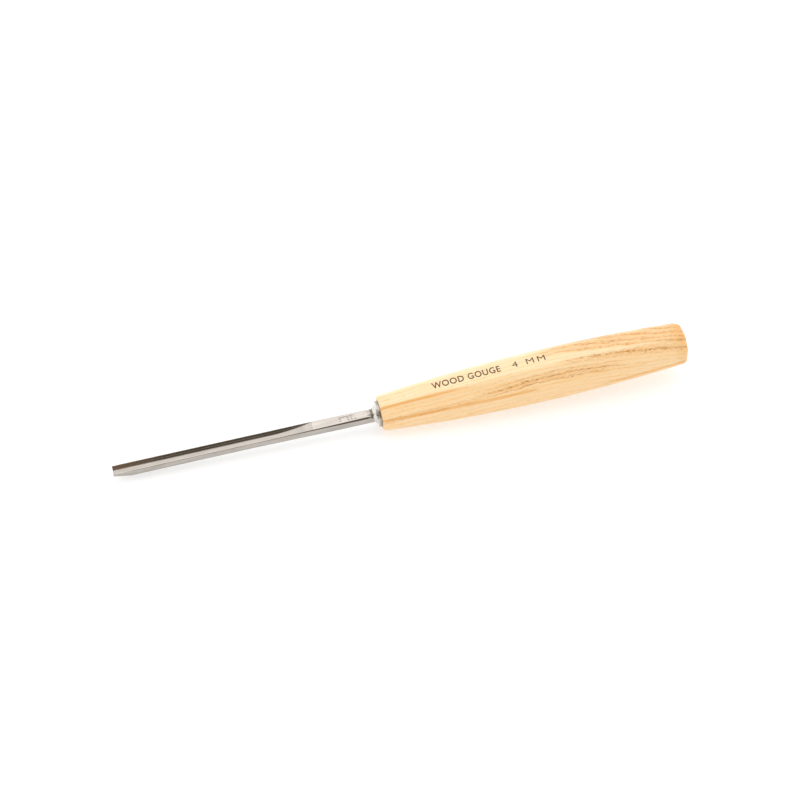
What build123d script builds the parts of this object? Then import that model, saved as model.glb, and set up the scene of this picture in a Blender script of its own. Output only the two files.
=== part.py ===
"""Straight carving gouge with a U flute, an octagonal wooden handle and a hidden inner ferrule.

Tool frame while building: X runs along the tool axis from the cutting edge (X = 0) to the butt,
Y runs across the tool and Z points up out of the open flute.  At the end the whole tool is set down
on the bench the way it rests: +Z up, bench at Z = 0, bounding box centred over the origin in X and Y.
All sizes are millimetres.
"""

import os
from math import asin, atan2, cos, degrees, hypot, radians, sin, tan

from build123d import *

# ------------------------------------------------------------------ overall
overall_length = 251.0          # cutting edge to the far end of the butt
wood_start = 114.6              # station of the handle's front face
fit_clearance = 0.05            # gap left between seated pieces, all round

# ------------------------------------------------------------------ blade
edge_width = 5.0                # outside width at the cutting edge
shank_width = 4.95              # outside width at the bolster
blade_top = 1.85                # height of the flat top above the tool axis, before the blade is raked
blade_rake = 1.0                # degrees by which the blade rises towards the edge, about the bolster
blade_height = 3.5              # section height of the fluted part
shank_height = 4.2              # section height at the bolster
blade_thin_end = 60.0           # underside is level up to this station
shank_thick_start = 98.0        # underside is level again from here
lower_edge_radius = 0.8         # rounding of the two long lower edges

# ------------------------------------------------------------------ flute and bevel
flute_half_width = 2.15         # leaves a wall of 0.35 either side of the flute, a guess
flute_depth = 1.55
flute_corner_radius = 0.12      # between the flute's floor and its walls
flute_full_end = 67.5           # flute is full depth up to here
flute_runout = 18.0             # length over which the flute floor climbs out
bevel_angle = 12.0              # slope of the bevel under the floor, degrees from the tool axis
edge_thickness = 0.06           # steel left round the flute at the cutting edge

# ------------------------------------------------------------------ shank corner chamfers
chamfer_start = 65.0            # chamfer begins at nothing here
chamfer_leg = 0.53              # chamfer leg where the shank meets the bolster

# ------------------------------------------------------------------ bolster
bolster_start = 109.2           # flare leaves the shank here
bolster_neck_radius = 2.2       # flare radius at its start
bolster_rim_radius = 5.65
bolster_rim_thickness = 1.1
bolster_rim_edge = 0.25         # rounding of the rim's front edge

# ------------------------------------------------------------------ tang
tang_length = 55.0
tang_root_side = 4.4
tang_tip_side = 2.6

# ------------------------------------------------------------------ inner ferrule
ferrule_setback = 0.35          # how far the ring stays inside the bolster rim, so it is out of sight
ferrule_wall = 1.0
ferrule_length = 10.0

# ------------------------------------------------------------------ handle
nose_half_width = 7.3           # half of the across-flats size at the front face
belly_half_width = 10.8         # the same at the fattest station
butt_half_width = 8.7           # the same at the butt
belly_from_nose = 75.4          # front face to the fattest station
long_edge_radius = 1.6          # softening of the eight long edges
nose_edge_radius = 1.1
butt_edge_radius = 2.8

# ------------------------------------------------------------------ resting pose
balance_from_nose = 33.4        # front face to the centre of mass, the flat touches the bench here


def side_outline() -> Face:
    """Return the blade and shank seen from the side, a face in the XZ plane."""
    low = blade_top - blade_height
    shank_low = blade_top - shank_height
    end = wood_start - bolster_rim_thickness
    points = [
        (0, blade_top), (end, blade_top), (end, shank_low),
        (shank_thick_start, shank_low), (blade_thin_end, low), (0, low),
    ]
    return Plane.XZ * make_face(Polyline(points, close=True))


def plan_outline() -> Face:
    """Return the blade and shank seen from above, a face in the XY plane."""
    end = wood_start - bolster_rim_thickness
    points = [
        (0, edge_width / 2), (end, shank_width / 2),
        (end, -shank_width / 2), (0, -edge_width / 2),
    ]
    return make_face(Polyline(points, close=True))


def blade_bar() -> Part:
    """Return the plain bar of blade and shank with its lower long edges rounded."""
    side = extrude(side_outline(), amount=edge_width, both=True)
    plan = extrude(plan_outline(), amount=3 * shank_height, both=True)
    bar = side & plan
    lower = [
        edge for edge in bar.edges()
        if edge.bounding_box().max.Z < 0 and edge.bounding_box().size.X > 5
    ]
    return fillet(lower, lower_edge_radius)


def flute_section(station: float) -> Face:
    """Return the flute's U section, open side up, square to the tool at a station.

    It reaches well above the blade's top.
    """
    floor = blade_top - flute_depth
    ceiling = blade_top + 2 * blade_height
    block = Rectangle(2 * flute_half_width, ceiling - floor)
    profile = fillet(block.vertices().sort_by(Axis.Y)[:2], flute_corner_radius)
    plane = Plane(origin=(station, 0, (ceiling + floor) / 2), x_dir=(0, 1, 0), z_dir=(1, 0, 0))
    return (plane * profile).face()


def flute_cutter() -> Part:
    """Return the U cutter that runs level along the blade and then climbs out of its top."""
    sweep_radius = (flute_runout ** 2 + flute_depth ** 2) / (2 * flute_depth)
    turn = asin(min(1.0, 1.25 * flute_runout / sweep_radius))
    start = Vector(-3, 0, blade_top)
    bend = Vector(flute_full_end, 0, blade_top)
    middle = bend + Vector(sweep_radius * sin(turn / 2), 0, sweep_radius * (1 - cos(turn / 2)))
    finish = bend + Vector(sweep_radius * sin(turn), 0, sweep_radius * (1 - cos(turn)))
    path = Wire([Line(start, bend).edge(), ThreePointArc(bend, middle, finish).edge()])
    return sweep(flute_section(start.X), path=path)


def bevel_length() -> float:
    """Return the station of the heel, where the bevel has reached the full section."""
    return (blade_height - flute_depth - edge_thickness) / tan(radians(bevel_angle))


def bevel_envelope() -> Part:
    """Return the body whose skin is the outside bevel.

    Its section grows from just outside the flute at the cutting edge to the full blade at the heel.
    """
    heel = bevel_length()
    ceiling = blade_top + 2 * blade_height
    edge_half = flute_half_width + edge_thickness
    edge_floor = blade_top - flute_depth - edge_thickness
    heel_half = edge_width / 2 + 0.02
    heel_floor = blade_top - blade_height - 0.02
    sections = []
    for station, half, floor, corner in (
        (0.0, edge_half, edge_floor, flute_corner_radius + edge_thickness),
        (heel, heel_half, heel_floor, lower_edge_radius),
    ):
        block = Rectangle(2 * half, ceiling - floor)
        profile = fillet(block.vertices().sort_by(Axis.Y)[:2], corner)
        plane = Plane(origin=(station, 0, (ceiling + floor) / 2), x_dir=(0, 1, 0), z_dir=(1, 0, 0))
        sections.append((plane * profile).face())
    rest = Box(
        overall_length, 4 * edge_width, 8 * blade_height, align=(Align.MIN, Align.CENTER, Align.CENTER)
    )
    return loft(sections, ruled=True) + Pos(heel, 0, 0) * rest


def shank_chamfer_cutter(side: int) -> Part:
    """Return the block whose face planes off one upper shank corner, side being +1 or -1."""
    end = wood_start - bolster_rim_thickness
    taper = (edge_width - shank_width) / 2 / end
    corner_start = Vector(chamfer_start, side * (edge_width / 2 - taper * chamfer_start), blade_top)
    corner_on_top = Vector(bolster_start, side * (shank_width / 2 - chamfer_leg), blade_top)
    corner_on_side = Vector(bolster_start, side * shank_width / 2, blade_top - chamfer_leg)
    along = (corner_on_top - corner_start).normalized()
    across = (corner_on_side - corner_start).normalized()
    normal = along.cross(across)
    if normal.Z < 0:
        normal = -normal
    face_plane = Plane(origin=corner_start, x_dir=along, z_dir=normal.normalized())
    return face_plane * Box(140, 12, 6, align=(Align.MIN, Align.CENTER, Align.MIN))


def bolster() -> Part:
    """Return the flared round bolster as a turned body."""
    rim_front = wood_start - bolster_rim_thickness
    flare_end = (rim_front, bolster_rim_radius - bolster_rim_edge)
    flare_mid_x = bolster_start + 0.72 * (rim_front - bolster_start)
    flare_mid = (flare_mid_x, bolster_neck_radius + 0.36 * (flare_end[1] - bolster_neck_radius))
    flare = ThreePointArc((bolster_start, bolster_neck_radius), flare_mid, flare_end)
    edge_mid = (
        rim_front + bolster_rim_edge * (1 - cos(radians(45))),
        bolster_rim_radius - bolster_rim_edge * (1 - sin(radians(45))),
    )
    rim_edge = ThreePointArc(flare_end, edge_mid, (rim_front + bolster_rim_edge, bolster_rim_radius))
    rest = Polyline(
        (rim_front + bolster_rim_edge, bolster_rim_radius), (wood_start, bolster_rim_radius),
        (wood_start, 0), (bolster_start, 0), (bolster_start, bolster_neck_radius),
    )
    return revolve(Plane.XZ * make_face(flare + rim_edge + rest), axis=Axis.X)


def tang(grow: float) -> Part:
    """Return the tapered square tang, every face moved outwards by grow."""
    root = Plane.YZ.offset(wood_start - 0.5) * Rectangle(
        tang_root_side + 2 * grow, tang_root_side + 2 * grow
    )
    tip = Plane.YZ.offset(wood_start + tang_length + grow) * Rectangle(
        tang_tip_side + 2 * grow, tang_tip_side + 2 * grow
    )
    return loft([root.face(), tip.face()])


def build_blade() -> Part:
    """Return the forged blade: fluted and bevelled blade, shank, bolster and tang."""
    bar = (blade_bar() & bevel_envelope()) - flute_cutter()
    for side in (1, -1):
        bar -= shank_chamfer_cutter(side)
    raked = bar.rotate(Axis((bolster_start, 0, 0), (0, 1, 0)), blade_rake)
    return raked + bolster() + tang(0.0)


def ferrule_outer_radius() -> float:
    """Return the outside radius of the ring, which hides behind the bolster rim."""
    return bolster_rim_radius - ferrule_setback


def build_ferrule() -> Part:
    """Return the plain metal ring let into the front end of the handle."""
    outer = Cylinder(ferrule_outer_radius(), ferrule_length)
    inner = Cylinder(ferrule_outer_radius() - ferrule_wall, 2 * ferrule_length)
    middle = wood_start + fit_clearance + ferrule_length / 2
    return Pos(middle, 0, 0) * Rot(0, 90, 0) * (outer - inner)


def arc_radius(run: float, drop: float) -> float:
    """Return the radius of the arc that starts level and falls by drop over a run."""
    return (run ** 2 + drop ** 2) / (2 * drop)


def barrel_side(run: float, end_half: float) -> list:
    """Return (distance, half width) at the belly, half way and at the end of one barrel arc."""
    radius = arc_radius(run, belly_half_width - end_half)
    middle = belly_half_width - radius + (radius ** 2 - (run / 2) ** 2) ** 0.5
    return [(0.0, belly_half_width), (run / 2, middle), (run, end_half)]


def barrel_slab() -> Part:
    """Return the wide slab whose upper and lower faces follow the barrel arcs."""
    front = wood_start + fit_clearance
    belly = wood_start + belly_from_nose
    to_nose = barrel_side(belly - front, nose_half_width)
    to_butt = barrel_side(overall_length - belly, butt_half_width)
    arcs = [
        ThreePointArc(*[(belly + way * run, level * half) for run, half in side])
        for way, side in ((-1, to_nose), (1, to_butt)) for level in (1, -1)
    ]
    nose = Line((front, nose_half_width), (front, -nose_half_width))
    butt = Line((overall_length, butt_half_width), (overall_length, -butt_half_width))
    outline = make_face(Curve() + arcs + [nose, butt])
    return extrude(Plane.XZ * outline, amount=3 * belly_half_width, both=True)


def end_edges(blank: Part, station: float) -> list:
    """Return the short edges round one end face of the handle."""
    return [
        edge for edge in blank.edges()
        if abs(edge.bounding_box().min.X - station) < 0.02 and edge.bounding_box().size.X < 0.02
    ]


def handle_blank() -> Part:
    """Return the octagonal barrel with rounded long edges, nose and butt."""
    slab = barrel_slab()
    blank = slab
    for turn in (45, 90, 135):
        blank = blank & (Rot(turn, 0, 0) * slab)
    long_edges = [edge for edge in blank.edges() if edge.bounding_box().size.X > 0.2 * belly_from_nose]
    blank = fillet(long_edges, long_edge_radius)
    blank = fillet(end_edges(blank, overall_length), butt_edge_radius)
    return fillet(end_edges(blank, wood_start + fit_clearance), nose_edge_radius)


def build_handle() -> Part:
    """Return the handle with its ferrule recess and its tang socket."""
    recess_outer = Cylinder(ferrule_outer_radius() + fit_clearance, ferrule_length + 2 * fit_clearance)
    recess_inner = Cylinder(
        ferrule_outer_radius() - ferrule_wall - fit_clearance, 2 * ferrule_length
    )
    middle = wood_start + fit_clearance + ferrule_length / 2
    recess = Pos(middle, 0, 0) * Rot(0, 90, 0) * (recess_outer - recess_inner)
    return handle_blank() - recess - tang(fit_clearance)


def rest_tilt() -> float:
    """Return how far the tool tips nose down on the bench, in degrees.

    The barrel touches the bench below the centre of mass, unless the bevel heel comes down first.
    """
    radius = arc_radius(belly_from_nose, belly_half_width - nose_half_width)
    balanced = asin((belly_from_nose - balance_from_nose) / radius)
    rake = radians(blade_rake)
    ahead, low = bolster_start - bevel_length(), blade_top - blade_height
    heel = (bolster_start - ahead * cos(rake) + low * sin(rake), ahead * sin(rake) + low * cos(rake))
    run = wood_start + belly_from_nose - heel[0]
    rise = radius - belly_half_width - heel[1]
    heel_down = asin(radius / hypot(run, rise)) - atan2(rise, run)
    return degrees(min(balanced, heel_down))


def set_down(piece: Part, lift: float, shift: float) -> Part:
    """Return a piece turned from the tool frame into the resting pose."""
    return Pos(shift, 0, lift) * piece.rotate(Axis.Y, -rest_tilt())


def main() -> None:
    """Build the three pieces, set the tool down on the bench and write one file per piece."""
    pieces = {
        "gouge_blade": build_blade(),
        "inner_ferrule": build_ferrule(),
        "handle": build_handle(),
    }
    turned = [set_down(piece, 0.0, 0.0) for piece in pieces.values()]
    box = Compound(children=turned).bounding_box()
    shift = -(box.min.X + box.max.X) / 2
    lift = -box.min.Z
    os.makedirs("parts", exist_ok=True)
    for name, piece in pieces.items():
        placed = set_down(piece, lift, shift)
        placed.label = name
        export_step(placed, f"parts/{name}.step")


if __name__ == "__main__":
    main()
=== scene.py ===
"""Looks of a straight carving gouge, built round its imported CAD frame.

The blade, the handle and the print on it are modelled in a tool frame in millimetres, with X along the
tool from the cutting edge, and are then set down on the bench in metres, in the frame of the CAD.
"""

import logging
from collections.abc import Callable
from dataclasses import dataclass, field
from enum import Enum
from math import asin, cos, pi, radians, sin, tan

import bmesh
import bpy
from mathutils import Matrix, Vector

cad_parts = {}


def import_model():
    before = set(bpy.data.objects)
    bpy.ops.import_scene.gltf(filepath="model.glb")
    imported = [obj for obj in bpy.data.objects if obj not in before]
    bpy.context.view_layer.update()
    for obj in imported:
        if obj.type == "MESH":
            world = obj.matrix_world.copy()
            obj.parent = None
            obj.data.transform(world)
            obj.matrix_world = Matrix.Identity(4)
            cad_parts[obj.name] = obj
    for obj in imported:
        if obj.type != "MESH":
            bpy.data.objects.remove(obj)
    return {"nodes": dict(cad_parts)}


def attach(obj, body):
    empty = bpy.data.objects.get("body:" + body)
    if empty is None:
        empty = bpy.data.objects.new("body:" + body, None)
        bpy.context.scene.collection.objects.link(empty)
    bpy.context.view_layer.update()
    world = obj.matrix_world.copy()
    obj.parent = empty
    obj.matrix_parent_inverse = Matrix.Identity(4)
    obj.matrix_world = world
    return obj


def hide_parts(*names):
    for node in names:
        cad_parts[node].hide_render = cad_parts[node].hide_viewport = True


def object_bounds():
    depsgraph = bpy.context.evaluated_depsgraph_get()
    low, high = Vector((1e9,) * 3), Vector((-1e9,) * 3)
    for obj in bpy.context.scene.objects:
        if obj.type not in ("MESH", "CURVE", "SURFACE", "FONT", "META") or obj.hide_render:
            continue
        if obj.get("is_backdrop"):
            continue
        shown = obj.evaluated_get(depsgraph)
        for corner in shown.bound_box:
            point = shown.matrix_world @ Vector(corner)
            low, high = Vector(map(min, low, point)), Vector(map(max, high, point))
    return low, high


log = logging.getLogger("gouge")

Colour = tuple[float, float, float, float]
Triple = tuple[float, float, float]

MM = 0.001  # one millimetre in metres
EDGE_MARGIN = 2e-6  # keeps the cutting edge just inside the CAD box, in metres
DIAGONAL = 0.70711  # half the square root of two, turns the axes by 45 degrees
CLEAR_ABOVE = 7.0  # how far cutters reach above the flat top of the blade, in millimetres


class Part(Enum):
    """Kinds of mesh element that can be picked in edit mode."""

    POINT = "VERT"
    EDGE = "EDGE"
    FACE = "FACE"


class Cut(Enum):
    """Ways of joining two solids."""

    TAKE_AWAY = "DIFFERENCE"
    JOIN = "UNION"
    KEEP_COMMON = "INTERSECT"


# --------------------------------------------------------------------------- bench work


class Vice:
    """Holds one object at a time for the modelling operators."""

    @staticmethod
    def hold(obj: bpy.types.Object) -> None:
        """Make an object the only selected and active one."""
        if bpy.context.object and bpy.context.object.mode != "OBJECT":
            bpy.ops.object.mode_set(mode="OBJECT")
        bpy.ops.object.select_all(action="DESELECT")
        obj.select_set(True)
        bpy.context.view_layer.objects.active = obj

    @staticmethod
    def clear() -> None:
        """Leave edit mode and deselect everything."""
        if bpy.context.object and bpy.context.object.mode != "OBJECT":
            bpy.ops.object.mode_set(mode="OBJECT")
        bpy.ops.object.select_all(action="DESELECT")

    @staticmethod
    def edit() -> None:
        """Enter edit mode on the held object."""
        bpy.ops.object.mode_set(mode="EDIT")

    @staticmethod
    def done() -> None:
        """Leave edit mode."""
        bpy.ops.object.mode_set(mode="OBJECT")

    @staticmethod
    def pick(kind: Part, test: Callable[[object], bool]) -> int:
        """Select the elements of the held mesh that pass a test, in edit mode.

        Args:
            kind: which elements to look at.
            test: takes one element and says whether it is wanted.

        Returns:
            How many were selected.
        """
        bpy.ops.mesh.select_mode(type=kind.value)
        bpy.ops.mesh.select_all(action="DESELECT")
        mesh = bpy.context.object.data
        work = bmesh.from_edit_mesh(mesh)
        items = {Part.POINT: work.verts, Part.EDGE: work.edges, Part.FACE: work.faces}[kind]
        wanted = [item for item in items if test(item)]
        for item in wanted:
            item.select_set(True)
        work.select_flush_mode()
        bmesh.update_edit_mesh(mesh)
        return len(wanted)

    @staticmethod
    def combine(body: bpy.types.Object, tool: bpy.types.Object, cut: Cut) -> None:
        """Apply a boolean of a tool on a body and throw the tool away.

        Args:
            body: the object that keeps the result.
            tool: the cutter or the added solid.
            cut: how the two are joined.
        """
        Vice.hold(body)
        step = body.modifiers.new("cut", "BOOLEAN")
        step.object = tool
        step.operation = cut.value
        step.solver = "EXACT"
        bpy.ops.object.modifier_apply(modifier=step.name)
        bpy.data.objects.remove(tool)

    @staticmethod
    def tidy(body: bpy.types.Object, crease: float) -> None:
        """Merge doubles, turn normals out and smooth all but the sharp edges.

        Args:
            body: the finished mesh.
            crease: edges sharper than this many degrees stay sharp.
        """
        Vice.hold(body)
        Vice.edit()
        bpy.ops.mesh.select_all(action="SELECT")
        bpy.ops.mesh.remove_doubles(threshold=0.0008)
        bpy.ops.mesh.select_all(action="SELECT")
        bpy.ops.mesh.normals_make_consistent(inside=False)
        Vice.done()
        bpy.ops.object.shade_smooth_by_angle(angle=radians(crease))
        even = body.modifiers.new("even", "WEIGHTED_NORMAL")
        even.keep_sharp = True
        even.weight = 80
        bpy.ops.object.modifier_apply(modifier=even.name)


# --------------------------------------------------------------------------- resting pose


@dataclass(frozen=True)
class Rest:
    """How the tool lies on the bench: sizes in millimetres, in the tool frame."""

    length: float = 251.0
    wood_start: float = 114.6
    belly_from_nose: float = 75.4
    belly_half: float = 10.8
    nose_half: float = 7.3
    balance_from_nose: float = 33.4
    rake: float = radians(1.0)
    rake_from: float = 109.2
    blade_top: float = 1.85

    @property
    def radius(self) -> float:
        """Radius of the barrel arc in front of the belly."""
        drop = self.belly_half - self.nose_half
        return (self.belly_from_nose ** 2 + drop ** 2) / (2 * drop)

    @property
    def tilt(self) -> float:
        """Nose-down angle in radians."""
        return asin((self.belly_from_nose - self.balance_from_nose) / self.radius)

    @property
    def lift(self) -> float:
        """Height of the tool frame's origin above the bench."""
        centre_x = self.wood_start + self.belly_from_nose
        centre_z = self.radius - self.belly_half
        return self.radius - (sin(self.tilt) * centre_x + cos(self.tilt) * centre_z)

    def start(self, low_x: float) -> float:
        """Return the X of the tool frame's origin, in metres, that puts the cutting edge at low_x."""
        across = self.rake_from * (1 - cos(self.rake)) + self.blade_top * sin(self.rake)
        above = self.rake_from * sin(self.rake) + self.blade_top * cos(self.rake)
        return low_x - MM * (across * cos(self.tilt) - above * sin(self.tilt)) + EDGE_MARGIN

    def tip_up(self, body: bpy.types.Object) -> None:
        """Rake a straight blade, so that its edge stands higher than the tool axis."""
        Vice.hold(body)
        Vice.edit()
        bpy.ops.mesh.select_all(action="SELECT")
        work = bmesh.from_edit_mesh(body.data)
        bmesh.ops.rotate(
            work, cent=(self.rake_from, 0, 0), matrix=Matrix.Rotation(self.rake, 3, "Y"), verts=work.verts
        )
        bmesh.update_edit_mesh(body.data)
        Vice.done()

    def settle(self, body: bpy.types.Object, start: float) -> None:
        """Turn and move a finished mesh from the tool frame to the bench, in metres.

        Args:
            body: a mesh modelled in the tool frame in millimetres.
            start: X of the tool frame's origin on the bench, in metres.
        """
        Vice.hold(body)
        body.scale = (MM, MM, MM)
        body.rotation_euler = (0.0, -self.tilt, 0.0)
        body.location = (start, 0.0, self.lift * MM)
        bpy.ops.object.transform_apply(location=True, rotation=True, scale=True)


# --------------------------------------------------------------------------- shader bench


class Value:
    """One number on its way through a shader, usable in Python expressions."""

    def __init__(self, bench: "ShaderBench", socket: bpy.types.NodeSocket) -> None:
        """Wrap an output socket of a node on a shader bench."""
        self.bench = bench
        self.socket = socket

    def _do(self, operation: str, first: "Value | float", second: "Value | float") -> "Value":
        """Return the result of one Math node."""
        return self.bench.node("ShaderNodeMath", {"operation": operation}, {0: first, 1: second})

    def __add__(self, other: "Value | float") -> "Value":
        """Add."""
        return self._do("ADD", self, other)

    def __radd__(self, other: float) -> "Value":
        """Add to a plain number."""
        return self._do("ADD", other, self)

    def __sub__(self, other: "Value | float") -> "Value":
        """Subtract."""
        return self._do("SUBTRACT", self, other)

    def __rsub__(self, other: float) -> "Value":
        """Subtract from a plain number."""
        return self._do("SUBTRACT", other, self)

    def __mul__(self, other: "Value | float") -> "Value":
        """Multiply."""
        return self._do("MULTIPLY", self, other)

    def __rmul__(self, other: float) -> "Value":
        """Multiply a plain number."""
        return self._do("MULTIPLY", other, self)

    def __truediv__(self, other: "Value | float") -> "Value":
        """Divide."""
        return self._do("DIVIDE", self, other)

    def least(self, other: "Value | float") -> "Value":
        """Return the smaller of two numbers."""
        return self._do("MINIMUM", self, other)

    def most(self, other: "Value | float") -> "Value":
        """Return the larger of two numbers."""
        return self._do("MAXIMUM", self, other)

    def fraction(self) -> "Value":
        """Return the part after the point."""
        return self._do("FRACT", self, 0.0)

    def size(self) -> "Value":
        """Return the number without its sign."""
        return self._do("ABSOLUTE", self, 0.0)

    def rise(self, low: float, high: float) -> "Value":
        """Return a smooth step that goes from 0 at low to 1 at high."""
        return self.bench.node(
            "ShaderNodeMapRange", {"interpolation_type": "SMOOTHSTEP"},
            {"Value": self, "From Min": low, "From Max": high, "To Min": 0.0, "To Max": 1.0},
        )

    def fall(self, low: float, high: float) -> "Value":
        """Return a smooth step that goes from 1 at low to 0 at high."""
        return self.bench.node(
            "ShaderNodeMapRange", {"interpolation_type": "SMOOTHSTEP"},
            {"Value": self, "From Min": low, "From Max": high, "To Min": 1.0, "To Max": 0.0},
        )


class ShaderBench:
    """Builds one material's node tree."""

    def __init__(self, name: str) -> None:
        """Start an empty material with a Principled shader and an output."""
        self.material = bpy.data.materials.new(name)
        self.material.use_nodes = True
        self.tree = self.material.node_tree
        self.tree.nodes.clear()
        self.shader = self.tree.nodes.new("ShaderNodeBsdfPrincipled")
        output = self.tree.nodes.new("ShaderNodeOutputMaterial")
        self.tree.links.new(self.shader.outputs[0], output.inputs[0])

    def node(self, kind: str, settings: dict, inputs: dict, out: int | str = 0) -> Value:
        """Add one node.

        Args:
            kind: Blender's name of the node type.
            settings: node settings, set before the sockets are filled.
            inputs: socket name or number to a number, a colour, a vector or a Value.
            out: which output to return.

        Returns:
            The chosen output.
        """
        made = self.tree.nodes.new(kind)
        for key, setting in settings.items():
            setattr(made, key, setting)
        for key, value in inputs.items():
            self.feed(made.inputs[key], value)
        return Value(self, made.outputs[out])

    def feed(self, socket: bpy.types.NodeSocket, value: "Value | float | Colour | Triple") -> None:
        """Link a Value to a socket, or set a plain number, colour or vector on it."""
        if isinstance(value, Value):
            self.tree.links.new(value.socket, socket)
        else:
            socket.default_value = value

    def place(self, rest: Rest, start: float) -> Value:
        """Return the point in the tool frame, in millimetres.

        Args:
            rest: the resting pose.
            start: X of the tool frame's origin on the bench, in metres.
        """
        where = self.node("ShaderNodeTexCoord", {}, {}, "Object")
        shift = (
            -(cos(rest.tilt) * start * 1000 + sin(rest.tilt) * rest.lift), 0.0,
            -(-sin(rest.tilt) * start * 1000 + cos(rest.tilt) * rest.lift),
        )
        return self.node(
            "ShaderNodeMapping", {},
            {"Vector": where, "Location": shift, "Rotation": (0.0, rest.tilt, 0.0),
             "Scale": (1000.0, 1000.0, 1000.0)},
        )

    def split(self, vector: Value) -> tuple[Value, Value, Value]:
        """Return the three parts of a vector."""
        made = self.tree.nodes.new("ShaderNodeSeparateXYZ")
        self.feed(made.inputs[0], vector)
        return tuple(Value(self, made.outputs[axis]) for axis in range(3))

    def stretch(self, vector: Value, scale: Triple, shift: Triple = (0.0, 0.0, 0.0)) -> Value:
        """Return a vector scaled along each axis and then moved."""
        return self.node("ShaderNodeMapping", {}, {"Vector": vector, "Scale": scale, "Location": shift})

    def noise(self, vector: Value, scale: float, detail: float, rough: float = 0.5) -> Value:
        """Return a noise value about 0.5."""
        return self.node(
            "ShaderNodeTexNoise", {"noise_dimensions": "3D"},
            {"Vector": vector, "Scale": scale, "Detail": detail, "Roughness": rough}, "Fac",
        )

    def blend(self, factor: Value | float, low: Value | Colour, high: Value | Colour) -> Value:
        """Return a colour between two colours."""
        return self.node(
            "ShaderNodeMix", {"data_type": "RGBA", "clamp_factor": True},
            {0: factor, 6: low, 7: high}, 2,
        )

    def bump(self, height: Value, strength: float, depth: float) -> Value:
        """Return a normal pushed by a height, with the depth in metres."""
        return self.node(
            "ShaderNodeBump", {}, {"Height": height, "Strength": strength, "Distance": depth}
        )

    def finish(self, **sockets: "Value | float | Colour") -> bpy.types.Material:
        """Fill the Principled shader's sockets, with underscores for spaces, and return the material."""
        for name, value in sockets.items():
            self.feed(self.shader.inputs[name.replace("_", " ")], value)
        return self.material


def srgb(red: float, green: float, blue: float) -> Colour:
    """Return a linear colour from 0 to 255 screen values."""
    def line(level: float) -> float:
        """Return the linear light of one screen value."""
        part = level / 255.0
        return part / 12.92 if part <= 0.04045 else ((part + 0.055) / 1.055) ** 2.4

    return (line(red), line(green), line(blue), 1.0)


# --------------------------------------------------------------------------- finishes


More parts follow.
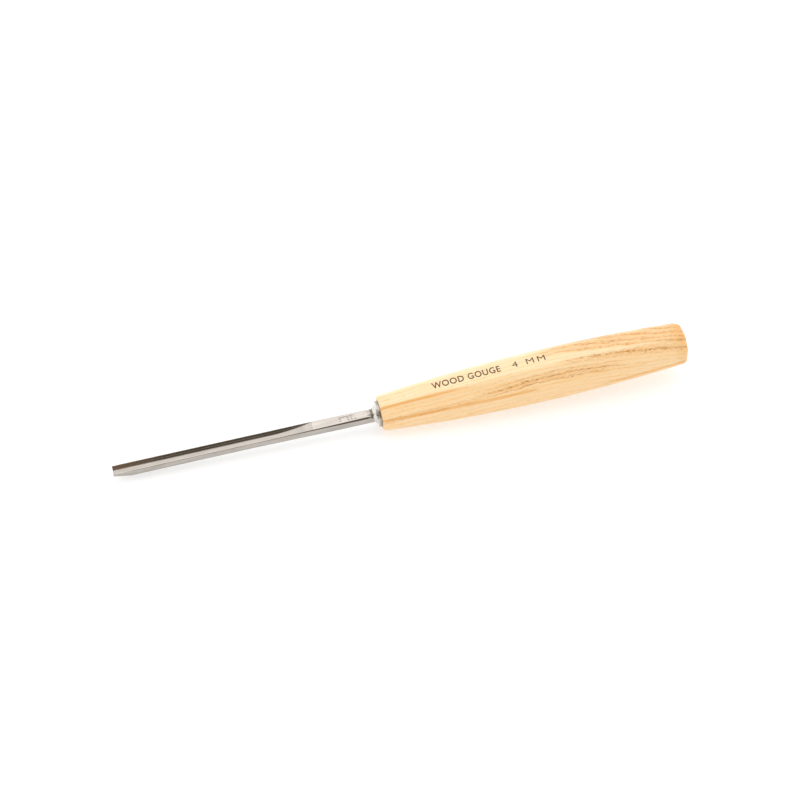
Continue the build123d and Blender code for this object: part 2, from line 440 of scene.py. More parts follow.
@dataclass(frozen=True)
class AshFinish:
    """Oiled ash: pale straight fibre, thin gold ring lines and clusters of short dark pores, with painted
    light: paler top flats and warmer flats below and on the -Y side.
    """

    pale: Colour = srgb(241, 219, 180)
    warm: Colour = srgb(244, 204, 149)
    ring: Colour = srgb(230, 172, 100)
    pore: Colour = srgb(158, 98, 46)
    ring_spacing: float = 1.7
    heart: float = 184.0

    def make(self, rest: Rest, start: float) -> bpy.types.Material:
        """Return the material, with its pattern in the tool frame."""
        bench = ShaderBench("oiled_ash")
        point = bench.place(rest, start)
        x, y, z = bench.split(point)
        depth = (z - y) * DIAGONAL
        across = (z + y) * DIAGONAL
        wander = bench.noise(bench.stretch(point, (0.03, 0.12, 0.12)), 1.0, 2.0) - 0.5
        wobble = bench.noise(bench.stretch(point, (0.12, 0.55, 0.55)), 1.0, 2.0) - 0.5
        back = (x - self.heart - 4.0).most(0.0)
        climb = (x.least(self.heart) - self.heart) * 0.04 - back * back * 0.0017
        rings = across - climb + wander * 2.6 + wobble * 1.5
        phase = ((rings + 60.0) / self.ring_spacing).fraction()
        early = phase.rise(0.0, 0.1) * phase.fall(0.22, 0.62)
        line = phase.rise(0.0, 0.06) * phase.fall(0.08, 0.26)
        fading = x.fall(204.0, 226.0) * 0.82 + 0.18
        flame = (rings + 0.3).size().fall(0.7, 2.7) * x.rise(148.0, 170.0) * fading
        band = (rings - 4.9).size().fall(0.6, 1.9) * x.rise(186.0, 202.0)
        upper = rings.rise(7.0, 8.2) * x.rise(176.0, 202.0) * 0.6
        nose = (rings + 1.0).size().fall(0.2, 1.3) * x.fall(150.0, 172.0) * 0.6
        crowd = flame.most(band).most(upper).most(nose).most(0.12)
        fibre = bench.noise(bench.stretch(point, (0.04, 4.4, 4.4)), 1.0, 3.0, 0.62)
        strand = bench.noise(bench.stretch(point, (0.014, 1.1, 1.1)), 1.0, 2.0, 0.5)
        vessel = bench.noise(bench.stretch(point, (0.52, 4.4, 4.4)), 1.0, 2.0, 0.55)
        stray = bench.noise(bench.stretch(point, (0.2, 5.4, 5.4), (9.0, 3.0, 7.0)), 1.0, 1.0, 0.4)
        pores = vessel.rise(0.50, 0.58) * (early * 0.75 + 0.25) * crowd
        flecks = stray.rise(0.62, 0.74) * (crowd * 0.4 + 0.18)
        # painted light: the top and +Y flats are paler, as if lit from overhead, and the lower flats and
        # those on the -Y side warmer, as if in shade
        painted_facet_shade = (depth - z).rise(-0.6, 0.6) * 0.42
        gold = (depth - z - 0.2).size().fall(0.15, 0.8) * x.fall(138.0, 158.0) * y.fall(-3.0, -2.0)
        growing = x.rise(120.0, 150.0) * 0.6 + 0.4
        low_gold = (
            (across + depth * 0.4).size().fall(0.15, 0.8) * growing * x.fall(168.0, 184.0) * (depth - z)
        )
        beyond = (-1.0 * y - depth).rise(0.2, 0.6)
        side_line = (z + 2.0).size().fall(0.2, 0.8) * x.rise(206.0, 218.0) * beyond
        gaps = bench.noise(bench.stretch(point, (0.09, 0.8, 0.8), (3.0, 1.0, 5.0)), 1.0, 2.0)
        broken = gaps.rise(0.4, 0.6)
        # the fibre's tone mixed with painted facet shade: paler on the top flats, warmer on the lower and
        # -Y flats
        tone = bench.blend(strand.rise(0.3, 0.7) * 0.55 + painted_facet_shade, self.pale, self.warm)
        lined = bench.blend(
            line * (crowd * 0.5 + 0.2) * (broken + 0.3) + early * crowd * 0.3 + crowd * 0.16
            + gold * 0.9 + low_gold.least(0.7) + side_line * 0.8 + upper * 0.6 + nose * 0.25
            + x.rise(243.0, 249.0) * 0.35,
            tone, self.ring,
        )
        grained = bench.blend(fibre.rise(0.45, 0.75) * 0.2, lined, self.ring)
        colour = bench.blend((pores * 1.05 + flecks).least(0.9), grained, self.pore)
        height = (1.0 - pores) * 0.6 + fibre * 0.25 - flecks * 0.3
        return bench.finish(
            Base_Color=colour,
            Roughness=0.42 + pores * 0.3 + (fibre - 0.5) * 0.16,
            Normal=bench.bump(height, 0.35, 0.00006),
            Coat_Weight=0.1,
            Coat_Roughness=0.3,
            Specular_IOR_Level=0.4,
        )


@dataclass(frozen=True)
class SteelFinish:
    """Ground and polished tool steel with fine lengthwise lines, with painted shade in the flute and on the
    bolster neck, painted dark reflections on the planed corners and the bolster rim, a painted highlight on
    the bolster's front cone and a painted warm reflection on the flute's far wall near the edge.
    """

    bright: Colour = srgb(183, 177, 170)
    dull: Colour = srgb(164, 157, 149)
    # painted shade: the dark tone that the flute, the planed corners, the bolster neck and the rim are
    # pulled towards
    shaded: Colour = srgb(116, 110, 103)
    # painted warm reflection: the light warm tone laid on the flute's far wall near the edge
    brown: Colour = srgb(250, 214, 184)
    # painted highlight: the bright tone laid on the bolster's front cone
    painted_cone_highlight: Colour = srgb(226, 222, 215)
    roughness: float = 0.15

    def make(self, rest: Rest, start: float) -> bpy.types.Material:
        """Return the material, with its pattern in the tool frame."""
        bench = ShaderBench("ground_steel")
        point = bench.place(rest, start)
        lines = bench.noise(bench.stretch(point, (0.05, 9.0, 9.0)), 1.0, 4.0, 0.65)
        scratch = bench.noise(bench.stretch(point, (0.25, 26.0, 26.0)), 1.0, 2.0, 0.6)
        cloud = bench.noise(bench.stretch(point, (0.09, 0.5, 0.5)), 1.0, 3.0, 0.55)
        pits = bench.noise(bench.stretch(point, (1.6, 2.4, 2.4)), 1.0, 2.0, 0.5).rise(0.68, 0.78)
        x, y, z = bench.split(point)
        above = z - rest.blade_top - (rest.rake_from - x) * tan(rest.rake)
        # painted shade: the inside of the flute is darkened a little, as a recess in shade
        inside = above.fall(-0.75, -0.35) * y.size().fall(2.1, 2.2) * x.fall(88.0, 90.0)
        # painted dark reflection: the planed shank corners are darkened, as they face the dark side of the
        # room
        leg = ((x - 65.0) * 0.012).most(0.0).least(0.53)
        corner = (above + y.size() + leg).rise(2.36, 2.44) * x.rise(60.0, 70.0) * x.fall(109.0, 110.0)
        ground = bench.blend(cloud.rise(0.35, 0.7) * 0.6 + pits * 0.3, self.bright, self.dull)
        far_wall = y.rise(2.05, 2.12) * y.fall(2.165, 2.195)
        # painted warm reflection: the flute's far wall near the edge is lightened and warmed
        painted_warm_reflection = x.fall(2.0, 26.0) * far_wall * above.fall(-0.12, -0.06) * above.rise(-1.5, -0.9)
        # painted shade: the top of the bolster neck is darkened where the flare turns up
        neck = x.rise(110.2, 110.9) * x.fall(111.3, 111.9) * z.rise(0.4, 1.2) * 0.85
        # painted highlight: the bolster's front cone is brightened
        dish = x.rise(111.4, 112.0) * x.fall(113.35, 113.55)
        # painted dark reflection: the bolster rim is darkened all round
        rim = x.rise(113.7, 113.9) * 0.4
        # painted shade and painted dark reflections: flute, planed corners, bolster neck and rim pulled
        # towards the shaded tone
        dark = bench.blend(inside * 0.35 + (corner * 0.95).most(neck).most(rim), ground, self.shaded)
        # painted highlight on the front cone and painted warm reflection on the far wall, over the shaded
        # steel
        tone = bench.blend(dish * 0.8, bench.blend(painted_warm_reflection, dark, self.brown), self.painted_cone_highlight)
        height = lines * 0.7 + scratch * 0.3 - pits * 0.5
        return bench.finish(
            Base_Color=tone,
            Metallic=1.0,
            Roughness=self.roughness + (lines - 0.5) * 0.14 + cloud * 0.06 + pits * 0.12,
            Normal=bench.bump(height, 0.25, 0.00003),
        )


@dataclass(frozen=True)
class RingFinish:
    """Plain turned steel of the hidden ring."""

    tone: Colour = srgb(176, 172, 166)

    def make(self, rest: Rest, start: float) -> bpy.types.Material:
        """Return the material, with turning marks round the tool axis."""
        bench = ShaderBench("turned_steel")
        point = bench.place(rest, start)
        marks = bench.noise(bench.stretch(point, (9.0, 0.3, 0.3)), 1.0, 3.0, 0.6)
        return bench.finish(
            Base_Color=bench.blend(marks, self.tone, srgb(150, 146, 140)),
            Metallic=1.0,
            Roughness=0.3 + marks * 0.2,
            Normal=bench.bump(marks, 0.3, 0.00004),
        )


@dataclass(frozen=True)
class InkFinish:
    """Dark brown print that has sunk a little into the grain."""

    dark: Colour = srgb(82, 60, 40)
    faded: Colour = srgb(120, 90, 60)

    def make(self, rest: Rest, start: float) -> bpy.types.Material:
        """Return the material, with patchy cover."""
        bench = ShaderBench("brown_print")
        point = bench.place(rest, start)
        grain = bench.noise(bench.stretch(point, (0.5, 6.0, 6.0)), 1.0, 3.0, 0.6)
        return bench.finish(
            Base_Color=bench.blend(grain.rise(0.42, 0.7), self.dark, self.faded),
            Roughness=0.55 + grain * 0.2,
            Normal=bench.bump(grain, 0.2, 0.00002),
        )


@dataclass(frozen=True)
class BenchFinish:
    """Plain matt white bench."""

    tone: Colour = (0.60, 0.615, 0.635, 1.0)

    def make(self) -> bpy.types.Material:
        """Return the material."""
        bench = ShaderBench("white_bench")
        return bench.finish(
            Base_Color=self.tone, Roughness=0.9, Specular_IOR_Level=0.1,
            Emission_Color=(1.0, 0.99, 0.975, 1.0), Emission_Strength=0.47,
        )


# --------------------------------------------------------------------------- blade


@dataclass
class GougeBlade:
    """The forging: fluted and bevelled blade, shank, bolster and tang, in the tool frame."""

    rest: Rest
    start: float
    edge_width: float = 5.0
    shank_width: float = 4.95
    rim_bevel: float = 0.14
    height: float = 3.5
    shank_height: float = 4.2
    thin_end: float = 60.0
    half_way: float = 79.0
    thick_start: float = 98.0
    edge_radius: float = 0.8
    flute_half: float = 2.15
    flute_depth: float = 1.55
    flute_corner: float = 0.12
    flute_end: float = 67.5
    runout: float = 18.0
    bevel: float = radians(12.0)
    keen: float = 0.06
    chamfer_start: float = 65.0
    chamfer_leg: float = 0.53
    flare_start: float = 109.2
    neck_radius: float = 2.2
    rim_radius: float = 5.65
    rim_thickness: float = 1.1
    rim_round: float = 0.2
    tang_length: float = 55.0
    tang_root: float = 4.4
    tang_tip: float = 2.6
    finish: SteelFinish = field(default_factory=SteelFinish)

    @property
    def rim_front(self) -> float:
        """Station of the bolster rim's front edge."""
        return self.rest.wood_start - self.rim_thickness

    def bar(self) -> bpy.types.Object:
        """Return the plain bar, tapered, with its lower edges rounded and shank corners planed."""
        Vice.clear()
        end = self.rim_front
        bpy.ops.mesh.primitive_cube_add(size=1.0, location=(0, 0, 0))
        body = bpy.context.object
        body.name = "carving_blade"
        body.scale = (end, self.edge_width, self.height)
        body.location = (end / 2, 0, self.rest.blade_top - self.height / 2)
        bpy.ops.object.transform_apply(location=True, rotation=True, scale=True)
        Vice.edit()
        for station in (self.thin_end, self.half_way, self.thick_start):
            bpy.ops.mesh.select_all(action="SELECT")
            bpy.ops.mesh.bisect(plane_co=(station, 0, 0), plane_no=(1, 0, 0), threshold=1e-5)
        drop = self.height - self.shank_height
        low = self.rest.blade_top - self.height
        Vice.pick(Part.POINT, lambda v: v.co.x > self.thick_start - 0.1 and v.co.z < low + 0.01)
        bpy.ops.transform.translate(value=(0, 0, drop))
        Vice.pick(Part.POINT, lambda v: abs(v.co.x - self.half_way) < 0.1 and v.co.z < low + 0.01)
        bpy.ops.transform.translate(value=(0, 0, drop / 2))
        for station in (0.0, self.thin_end, self.half_way, self.thick_start, end):
            ratio = 1 + (self.shank_width / self.edge_width - 1) * station / end
            Vice.pick(Part.POINT, lambda v, here=station: abs(v.co.x - here) < 0.1)
            bpy.ops.transform.resize(value=(1, ratio, 1), center_override=(station, 0, 0))
        Vice.pick(Part.EDGE, self._is_lower_edge)
        bpy.ops.mesh.bevel(offset=self.edge_radius, segments=8, profile=0.5, affect="EDGES")
        Vice.pick(Part.EDGE, self._is_upper_edge)
        bpy.ops.mesh.bevel(offset=self.rim_bevel, segments=1, affect="EDGES")
        for side in (1, -1):
            self._plane_corner(side)
        Vice.done()
        return body

    @staticmethod
    def _is_lower_edge(edge: bmesh.types.BMEdge) -> bool:
        """Say whether an edge runs along the tool at one of the lower corners."""
        one, two = (vert.co for vert in edge.verts)
        return abs(one.x - two.x) > 5 and one.z < 0 and two.z < 0 and one.y * two.y > 0

    @staticmethod
    def _is_upper_edge(edge: bmesh.types.BMEdge) -> bool:
        """Say whether an edge runs along the tool at one of the upper corners."""
        one, two = (vert.co for vert in edge.verts)
        return abs(one.x - two.x) > 5 and one.z > 1 and two.z > 1 and one.y * two.y > 0

    def _plane_corner(self, side: int) -> None:
        """Plane off one upper shank corner, side being +1 or -1."""
        taper = (self.edge_width - self.shank_width) / 2 / self.rim_front
        top, shank_half = self.rest.blade_top, self.shank_width / 2
        start_half = self.edge_width / 2 - taper * self.chamfer_start
        corner = Vector((self.chamfer_start, side * start_half, top))
        on_top = Vector((self.flare_start, side * (shank_half - self.chamfer_leg), top))
        on_side = Vector((self.flare_start, side * shank_half, top - self.chamfer_leg))
        normal = (on_top - corner).cross(on_side - corner).normalized()
        if normal.z < 0:
            normal = -normal
        bpy.ops.mesh.select_all(action="SELECT")
        bpy.ops.mesh.bisect(
            plane_co=corner, plane_no=normal, use_fill=True, clear_outer=True, threshold=1e-5
        )

    def section(self, station: float, grow: float) -> bpy.types.Object:
        """Return the flute's U section as a face square to the tool, every side moved out by grow.

        Args:
            station: where the section stands along the tool.
            grow: how far its sides and floor are moved out.
        """
        Vice.clear()
        floor = self.rest.blade_top - self.flute_depth - grow
        ceiling = self.rest.blade_top + CLEAR_ABOVE
        bpy.ops.mesh.primitive_plane_add(size=1.0, location=(0, 0, 0), rotation=(0, pi / 2, 0))
        tool = bpy.context.object
        bpy.ops.object.transform_apply(location=True, rotation=True, scale=True)
        tool.scale = (1, 2 * (self.flute_half + grow), ceiling - floor)
        tool.location = (station, 0, (floor + ceiling) / 2)
        bpy.ops.object.transform_apply(location=True, rotation=True, scale=True)
        Vice.edit()
        Vice.pick(Part.POINT, lambda v: v.co.z < self.rest.blade_top)
        bpy.ops.mesh.bevel(offset=self.flute_corner + grow, segments=6, profile=0.5, affect="VERTICES")
        bpy.ops.mesh.select_all(action="SELECT")
        return tool

    def flute_cutter(self) -> bpy.types.Object:
        """Return the U cutter that runs level along the blade and then climbs out."""
        tool = self.section(-3.0, 0.0)
        sweep = (self.runout ** 2 + self.flute_depth ** 2) / (2 * self.flute_depth)
        turn = asin(1.25 * self.runout / sweep)
        steps = 24
        bpy.ops.mesh.extrude_region_move(TRANSFORM_OT_translate={"value": (3 + self.flute_end, 0, 0)})
        at = Vector((self.flute_end, 0, 0))
        for step in range(1, steps + 1):
            angle = turn * step / steps
            goal = Vector((self.flute_end + sweep * sin(angle), 0, sweep * (1 - cos(angle))))
            bpy.ops.mesh.extrude_region_move(TRANSFORM_OT_translate={"value": goal - at})
            at = goal
        bpy.ops.mesh.select_all(action="SELECT")
        bpy.ops.mesh.normals_make_consistent(inside=False)
        Vice.done()
        return tool

    def bevel_envelope(self) -> bpy.types.Object:
        """Return the body whose skin is the outside bevel, widened to clear the rest of the bar."""
        tool = self.section(0.0, self.keen)
        below = self.height - self.flute_depth - self.keen
        heel, ceiling = below / tan(self.bevel), self.rest.blade_top + CLEAR_ABOVE
        wide, tall = self.flute_half + self.keen, CLEAR_ABOVE + self.flute_depth + self.keen
        at_heel = (heel, self.edge_width / 2 + 0.02, CLEAR_ABOVE + 0.02 + self.height)
        past_bolster = (150.0, 9.0, 24.0)
        at = 0.0
        for station, half, deep in (at_heel, past_bolster):
            bpy.ops.mesh.extrude_region_move(TRANSFORM_OT_translate={"value": (station - at, 0, 0)})
            bpy.ops.transform.resize(
                value=(1, half / wide, deep / tall), center_override=(station, 0, ceiling)
            )
            at, wide, tall = station, half, deep
        bpy.ops.mesh.select_all(action="SELECT")
        bpy.ops.mesh.normals_make_consistent(inside=False)
        Vice.done()
        return tool

    def bolster(self) -> bpy.types.Object:
        """Return the flared round bolster with the tang behind it."""
        Vice.clear()
        start, front, back = self.flare_start, self.rim_front, self.rest.wood_start
        wide, soft, steps = self.rim_radius, self.rim_round, 12
        flare = []
        for step in range(steps + 1):
            part = step / steps
            grow = 1 - (1 - part ** 1.9) ** 0.62
            radius = self.neck_radius + grow * (wide - soft - self.neck_radius)
            flare.append((start + part * (front - start), radius))
        rim = [(front + soft * (1 - cos(a)), wide - soft * (1 - sin(a))) for a in (0.5, 1.0, pi / 2)]
        rear = [(back - 0.15, wide), (back - 0.04, wide - 0.04), (back, wide - 0.15)]
        outline = flare + rim + rear
        bpy.ops.mesh.primitive_circle_add(
            vertices=128, radius=outline[0][1], fill_type="NGON",
            location=(outline[0][0], 0, 0), rotation=(0, pi / 2, 0),
        )
        body = bpy.context.object
        bpy.ops.object.transform_apply(location=True, rotation=True, scale=True)
        Vice.edit()
        bpy.ops.mesh.select_all(action="SELECT")
        for (at, size), (station, radius) in zip(outline, outline[1:]):
            bpy.ops.mesh.extrude_region_move(TRANSFORM_OT_translate={"value": (station - at, 0, 0)})
            ratio = radius / size
            bpy.ops.transform.resize(value=(1, ratio, ratio), center_override=(station, 0, 0))
        bpy.ops.mesh.select_all(action="SELECT")
        bpy.ops.mesh.normals_make_consistent(inside=False)
        Vice.done()
        return body

    def tang(self, grow: float) -> bpy.types.Object:
        """Return the tapered square tang, every face moved out by grow."""
        Vice.clear()
        sunk = 0.5
        long = self.tang_length + sunk + grow
        bpy.ops.mesh.primitive_cube_add(size=1.0)
        body = bpy.context.object
        root = self.tang_root + 2 * grow
        body.scale = (long, root, root)
        body.location = (self.rest.wood_start - sunk + long / 2, 0, 0)
        bpy.ops.object.transform_apply(location=True, rotation=True, scale=True)
        Vice.edit()
        Vice.pick(Part.FACE, lambda f: f.normal.x > 0.9)
        ratio = (self.tang_tip + 2 * grow) / root
        bpy.ops.transform.resize(
            value=(1, ratio, ratio), center_override=(self.rest.wood_start + self.tang_length, 0, 0)
        )
        Vice.done()
        return body

    def stamp(self) -> bpy.types.Object:
        """Return the small raised word that is struck into the shank."""
        word = PrintedWord("STEEL", 96.8, 104.4, 2.3, self.rest.blade_top)
        return word.solid(0.2)

    def build(self) -> bpy.types.Object:
        """Return the finished forging, dressed and set down on the bench."""
        body = self.bar()
        Vice.combine(body, self.flute_cutter(), Cut.TAKE_AWAY)
        Vice.combine(body, self.bevel_envelope(), Cut.KEEP_COMMON)
        Vice.combine(body, self.stamp(), Cut.TAKE_AWAY)
        self.rest.tip_up(body)
        Vice.combine(body, self.bolster(), Cut.JOIN)
        Vice.combine(body, self.tang(0.0), Cut.JOIN)
        Vice.tidy(body, 24.0)
        self.rest.settle(body, self.start)
        body.data.materials.append(self.finish.make(self.rest, self.start))
        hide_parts("gouge_blade")
        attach(body, "root")
        log.info("blade: %d faces", len(body.data.polygons))
        return body


# --------------------------------------------------------------------------- lettering


@dataclass
class PrintedWord:
    """One plain word lying on a level plane, reading from the blade towards the butt."""

    text: str
    from_x: float
    to_x: float
    tall: float
    level: float
    spacing: float = 1.0
    bold: float = 0.0
    aside: float = 0.0

    def flat(self) -> bpy.types.Object:
        """Return the word as a flat mesh of its exact length and height."""
        Vice.clear()
        bpy.ops.object.text_add(location=(0, 0, 0))
        word = bpy.context.object
        word.data.body = self.text
        word.data.resolution_u = 4
        word.data.space_character = self.spacing
        word.data.offset = self.bold
        bpy.ops.object.convert(target="MESH")
        word = bpy.context.object
        xs = [v.co.x for v in word.data.vertices]
        ys = [v.co.y for v in word.data.vertices]
        wide, high = max(xs) - min(xs), max(ys) - min(ys)
        scale = ((self.to_x - self.from_x) / wide, self.tall / high)
        word.scale = (scale[0], scale[1], 1.0)
        word.location = (
            self.from_x - min(xs) * scale[0], self.aside - (min(ys) + high / 2) * scale[1], self.level
        )
        bpy.ops.object.transform_apply(location=True, rotation=True, scale=True)
        return word

    def solid(self, depth: float) -> bpy.types.Object:
        """Return the word as a solid that reaches depth below its plane and stands a little above it."""
        word = self.flat()
        Vice.edit()
        bpy.ops.mesh.select_all(action="SELECT")
        bpy.ops.mesh.remove_doubles(threshold=0.0005)
        bpy.ops.mesh.select_all(action="SELECT")
        bpy.ops.transform.translate(value=(0, 0, -depth))
        bpy.ops.mesh.extrude_region_move(TRANSFORM_OT_translate={"value": (0, 0, depth + 0.2)})
        bpy.ops.mesh.select_all(action="SELECT")
        bpy.ops.mesh.normals_make_consistent(inside=False)
        Vice.done()
        return word


# --------------------------------------------------------------------------- handle


@dataclass
class AshHandle:
    """The octagonal barrel-shaped handle with its print, in the tool frame."""

    rest: Rest
    start: float
    nose: float = 114.65
    butt_half: float = 8.7
    long_edge: float = 1.6
    nose_round: float = 1.1
    butt_round: float = 2.8
    ring_outer: float = 5.35
    ring_inner: float = 4.25
    ring_depth: float = 10.05
    finish: AshFinish = field(default_factory=AshFinish)
    ink: InkFinish = field(default_factory=InkFinish)

    def half_width(self, station: float) -> float:
        """Return the half across-flats size at a station along the tool."""
        belly = self.rest.wood_start + self.rest.belly_from_nose
        if station < belly:
            run, drop = self.rest.belly_from_nose, self.rest.belly_half - self.rest.nose_half
        else:
            run, drop = self.rest.length - belly, self.rest.belly_half - self.butt_half
        radius = (run ** 2 + drop ** 2) / (2 * drop)
        return self.rest.belly_half - radius + (radius ** 2 - (station - belly) ** 2) ** 0.5

    def stations(self) -> list[tuple[float, float]]:
        """Return every ring of the barrel as its station and half width, nose first."""
        end = self.rest.length
        rings = []
        for step in range(7):
            angle = pi / 2 * step / 6
            station = self.nose + self.nose_round * (1 - sin(angle))
            rings.append((station, self.half_width(station) - self.nose_round * (1 - cos(angle))))
        rings.reverse()
        first, last = self.nose + self.nose_round, end - self.butt_round
        for step in range(1, 30):
            station = first + (last - first) * step / 30
            rings.append((station, self.half_width(station)))
        for step in range(8):
            angle = pi / 2 * step / 7
            station = last + self.butt_round * sin(angle) * 0.86
            rings.append((station, self.half_width(last) - self.butt_round * (1 - cos(angle)) * 1.05))
        rim = rings[-1]
        for step in range(1, 5):
            part = step / 4
            dome = 0.14 * self.butt_round * (1 - (1 - part) ** 2)
            rings.append((rim[0] + dome, rim[1] * (1 - 0.9 * part)))
        return rings

    def barrel(self) -> bpy.types.Object:
        """Return the plain barrel: a rounded octagon drawn out ring by ring."""
        Vice.clear()
        rings = self.stations()
        first, size = rings[0]
        bpy.ops.mesh.primitive_circle_add(
            vertices=8, radius=size / cos(pi / 8), fill_type="NGON",
            location=(first, 0, 0), rotation=(0, pi / 2, 0),
        )
        body = bpy.context.object
        body.name = "ash_handle"
        bpy.ops.object.transform_apply(location=True, rotation=True, scale=True)
        Vice.edit()
        bpy.ops.mesh.select_all(action="SELECT")
        bpy.ops.transform.rotate(value=pi / 8, orient_axis="X", center_override=(first, 0, 0))
        softness = self.long_edge * tan(pi / 8) * size / self.rest.belly_half * 1.5
        bpy.ops.mesh.bevel(offset=softness, segments=6, profile=0.5, affect="VERTICES")
        bpy.ops.mesh.select_all(action="SELECT")
        for station, half in rings[1:]:
            bpy.ops.mesh.extrude_region_move(TRANSFORM_OT_translate={"value": (station - first, 0, 0)})
            ratio = half / size
            bpy.ops.transform.resize(value=(1, ratio, ratio), center_override=(station, 0, 0))
            first, size = station, half
        bpy.ops.mesh.select_all(action="SELECT")
        bpy.ops.mesh.normals_make_consistent(inside=False)
        Vice.done()
        return body

    def ring_cutter(self) -> bpy.types.Object:
        """Return the cutter of the recess that takes the inner ferrule."""
        Vice.clear()
        deep = self.ring_depth + 1.0
        middle = self.nose - 1.0 + deep / 2
        bpy.ops.mesh.primitive_cylinder_add(
            vertices=96, radius=self.ring_outer, depth=deep, location=(middle, 0, 0),
            rotation=(0, pi / 2, 0),
        )
        outer = bpy.context.object
        Vice.clear()
        bpy.ops.mesh.primitive_cylinder_add(
            vertices=96, radius=self.ring_inner, depth=deep + 4, location=(middle, 0, 0),
            rotation=(0, pi / 2, 0),
        )
        inner = bpy.context.object
        Vice.combine(outer, inner, Cut.TAKE_AWAY)
        return outer

    def print_word(self, word: PrintedWord, body: bpy.types.Object, name: str) -> bpy.types.Object:
        """Return one word laid on the top flat as a thin film of ink.

        Args:
            word: the word and its place along the tool.
            body: the barrel, still in the tool frame.
            name: name of the piece.
        """
        film = word.flat()
        film.name = name
        Vice.hold(film)
        lay = film.modifiers.new("lay", "SHRINKWRAP")
        lay.target = body
        lay.wrap_method = "PROJECT"
        lay.use_project_z = True
        lay.use_project_x = False
        lay.use_project_y = False
        lay.use_negative_direction = True
        lay.use_positive_direction = False
        lay.offset = 0.012
        bpy.ops.object.modifier_apply(modifier=lay.name)
        thick = film.modifiers.new("thick", "SOLIDIFY")
        thick.thickness = 0.03
        thick.offset = 0.0
        bpy.ops.object.modifier_apply(modifier=thick.name)
        return film

    def build(self, blade: GougeBlade) -> list[bpy.types.Object]:
        """Return the handle and its print, dressed and set down on the bench."""
        body = self.barrel()
        kind = PrintedWord("WOOD GOUGE", 138.2, 168.3, 3.35, 14.0, spacing=1.1, bold=0.016, aside=0.5)
        size = PrintedWord("4 MM", 173.6, 188.2, 2.95, 14.0, spacing=1.35, aside=0.7)
        words = [self.print_word(kind, body, "print_word"), self.print_word(size, body, "print_size")]
        Vice.combine(body, self.ring_cutter(), Cut.TAKE_AWAY)
        Vice.combine(body, blade.tang(0.05), Cut.TAKE_AWAY)
        Vice.tidy(body, 32.0)
        self.rest.settle(body, self.start)
        body.data.materials.append(self.finish.make(self.rest, self.start))
        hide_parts("handle")
        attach(body, "root")
        log.info("handle: %d faces", len(body.data.polygons))
        ink = self.ink.make(self.rest, self.start)
        for film in words:
            self.rest.settle(film, self.start)
            film.data.materials.append(ink)
            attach(film, "root")
            log.info("%s: %d faces", film.name, len(film.data.polygons))
        return [body, *words]


# --------------------------------------------------------------------------- studio


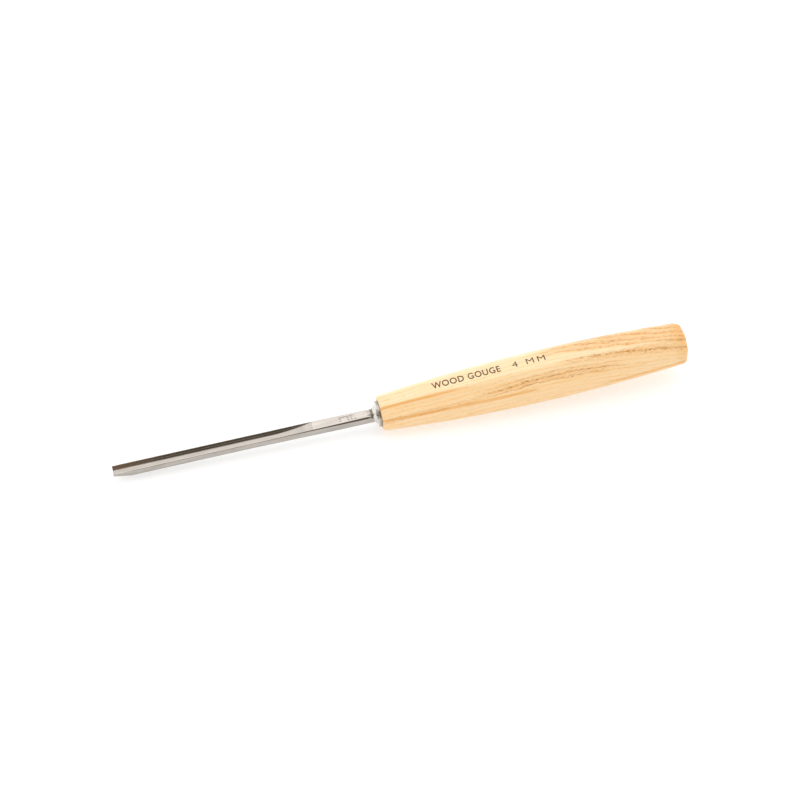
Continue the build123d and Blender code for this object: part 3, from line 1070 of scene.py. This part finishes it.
@dataclass
class Studio:
    """White bench, soft light and the camera."""

    elevation: float = radians(50.3)
    yaw: float = radians(14.57)
    distance: float = 0.7565
    lens: float = 80.0
    aim_right: float = -0.0019
    aim_up: float = 0.0023
    aim_height: float = 0.010
    room_glow: Colour = (1.30, 1.295, 1.28, 1.0)
    dark_glow: Colour = (0.46, 0.42, 0.37, 1.0)

    def bench(self) -> bpy.types.Object:
        """Return the bench top, marked as stage."""
        Vice.clear()
        bpy.ops.mesh.primitive_plane_add(size=8.0, location=(0, 0, 0))
        top = bpy.context.object
        top.name = "bench_top"
        top.data.materials.append(BenchFinish().make())
        top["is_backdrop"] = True
        return top

    def lights(self) -> None:
        """Hang the soft lights."""
        for name, place, size, power in (
            ("overhead", (0.10, 0.35, 1.05), 0.9, 1.6),
            ("side", (-0.9, -0.2, 0.8), 0.7, 0.5),
            ("front", (-0.25, -0.85, 0.75), 0.8, 2.4),
        ):
            Vice.clear()
            bpy.ops.object.light_add(type="AREA", location=place)
            lamp = bpy.context.object
            lamp.name = name
            lamp.data.size = size
            lamp.visible_glossy = name != "front"
            lamp.data.energy = power
            lamp.rotation_euler = (-Vector(place)).to_track_quat("-Z", "Y").to_euler()

    def room(self) -> None:
        """Set the white room, with the darker side behind the camera."""
        world = bpy.data.worlds.new("white_room")
        bpy.context.scene.world = world
        world.use_nodes = True
        tree = world.node_tree
        tree.nodes.clear()
        where = tree.nodes.new("ShaderNodeTexCoord")
        dim = None
        for axis, low, high in (
            ((-sin(self.yaw), -cos(self.yaw), 0.0), 0.22, 0.32),
            ((0.0, 0.0, 1.0), 0.14, 0.24),
        ):
            side = tree.nodes.new("ShaderNodeVectorMath")
            side.operation = "DOT_PRODUCT"
            side.inputs[1].default_value = axis
            tree.links.new(where.outputs["Generated"], side.inputs[0])
            step = tree.nodes.new("ShaderNodeMapRange")
            step.interpolation_type = "SMOOTHSTEP"
            for key, value in (("From Min", low), ("From Max", high), ("To Min", 0.0), ("To Max", 1.0)):
                step.inputs[key].default_value = value
            tree.links.new(side.outputs["Value"], step.inputs["Value"])
            if dim is None:
                dim = step.outputs["Result"]
                continue
            both = tree.nodes.new("ShaderNodeMath")
            both.operation = "MULTIPLY"
            tree.links.new(dim, both.inputs[0])
            tree.links.new(step.outputs["Result"], both.inputs[1])
            dim = both.outputs[0]
        path = tree.nodes.new("ShaderNodeLightPath")
        seen = None
        for factor, low, high in (
            (dim, self.room_glow, self.dark_glow),
            (path.outputs["Is Camera Ray"], None, (1.0, 1.0, 1.0, 1.0)),
        ):
            mix = tree.nodes.new("ShaderNodeMix")
            mix.data_type = "RGBA"
            tree.links.new(factor, mix.inputs[0])
            mix.inputs[7].default_value = high
            if low is None:
                tree.links.new(seen, mix.inputs[6])
            else:
                mix.inputs[6].default_value = low
            seen = mix.outputs[2]
        glow = tree.nodes.new("ShaderNodeBackground")
        tree.links.new(seen, glow.inputs["Color"])
        out = tree.nodes.new("ShaderNodeOutputWorld")
        tree.links.new(glow.outputs[0], out.inputs[0])

    def camera(self) -> bpy.types.Object:
        """Return the scene's camera."""
        back = Vector((
            -sin(self.yaw) * cos(self.elevation), -cos(self.yaw) * cos(self.elevation), sin(self.elevation),
        ))
        right = Vector((cos(self.yaw), -sin(self.yaw), 0.0))
        up = back.cross(right)
        aim = Vector((0, 0, self.aim_height)) + right * self.aim_right + up * self.aim_up
        Vice.clear()
        bpy.ops.object.camera_add(location=aim + back * self.distance)
        camera = bpy.context.object
        camera.rotation_mode = "QUATERNION"
        camera.rotation_quaternion = (-back).to_track_quat("-Z", "Y")
        camera.data.lens = self.lens
        camera.data.sensor_width = 36.0
        camera.data.clip_start = 0.01
        bpy.context.scene.camera = camera
        return camera

    def set_up(self) -> None:
        """Build the whole studio."""
        self.bench()
        self.lights()
        self.room()
        self.camera()
        bpy.context.scene.view_settings.view_transform = "Standard"


def main() -> None:
    """Build the gouge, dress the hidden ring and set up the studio."""
    logging.basicConfig(level=logging.INFO, format="%(name)s %(message)s")
    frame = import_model()
    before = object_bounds()
    rest = Rest()
    start = rest.start(before[0].x)
    blade = GougeBlade(rest, start)
    blade.build()
    AshHandle(rest, start).build(blade)
    ring = frame["nodes"]["inner_ferrule"]
    ring.data.materials.clear()
    ring.data.materials.append(RingFinish().make(rest, start))
    log.info("inner ferrule: CAD node dressed")
    Studio().set_up()


if __name__ == "__main__":
    main()
